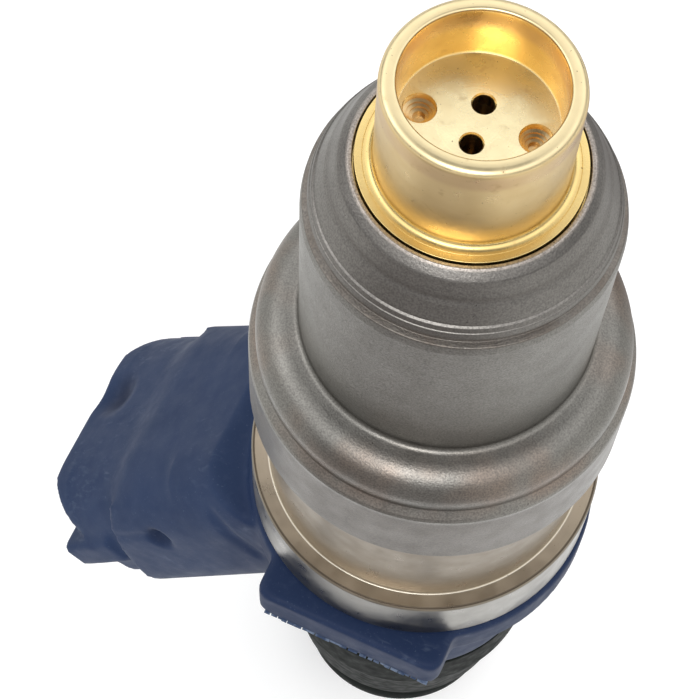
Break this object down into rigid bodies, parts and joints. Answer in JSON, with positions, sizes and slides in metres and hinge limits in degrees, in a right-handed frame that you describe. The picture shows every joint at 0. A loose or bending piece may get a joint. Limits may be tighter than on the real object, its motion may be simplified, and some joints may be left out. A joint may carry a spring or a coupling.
{
  "type": "fuel injector",
  "caption": "Top-feed petrol fuel injector with a brass spray cup, stepped steel body, side-leaning electrical connector and a lifting needle valve inside.",
  "frame": {"origin": "on the injector's axis, in the end face of the fuel inlet", "axes": "+Z along the injector's axis from the fuel inlet to the spray cup; the electrical connector leans out towards -X and back towards the inlet"},
  "size_m": [0.0373, 0.024, 0.0785],
  "materials": {
    "brass": "turned brass, lightly tarnished",
    "satin_steel": "satin, turned and handled",
    "bright_steel": "ground bright",
    "magnet_steel": "turned, bare",
    "plated_steel": "plated, slightly yellowed",
    "natural_plastic": "unfilled, off-white",
    "copper": "enamelled copper wire",
    "brown_rubber": "smooth seal",
    "blue_plastic": "glass-filled moulding, satin",
    "tinned_brass": "tin plated blade",
    "black_rubber": "matt moulded rubber"
  },
  "bodies": {
    "injector_body": {"spray_cup": "brass", "nozzle_holder": "satin_steel", "orifice_plate": "bright_steel", "valve_body": "bright_steel", "valve_body_seal": "brown_rubber", "stopper_plate": "bright_steel", "return_spring": "bright_steel", "adjusting_tube": "brass", "inlet_core": "magnet_steel", "nonmagnetic_ring": "bright_steel", "magnet_housing": "plated_steel", "coil_bobbin": "natural_plastic", "coil_winding": "copper", "coil_seal_nozzle_side": "brown_rubber", "coil_seal_inlet_side": "brown_rubber", "moulded_body": "blue_plastic", "terminal_left": "tinned_brass", "terminal_right": "tinned_brass", "inlet_grommet": "black_rubber", "ring_spacer": "natural_plastic", "inlet_o_ring": "black_rubber", "filter_frame": "natural_plastic", "filter_mesh": "bright_steel"},
    "valve": {"needle_valve": "bright_steel", "armature": "magnet_steel"}
  },
  "joints": [
    {"name": "valve_lift", "type": "slide", "parent": "injector_body", "child": "valve", "axis": [0, 0, -1], "range_m": [0, 0.0001], "stiffness_N_per_m": 1500, "springref_m": -0.0027, "deforming": ["return_spring"]}
  ]
}
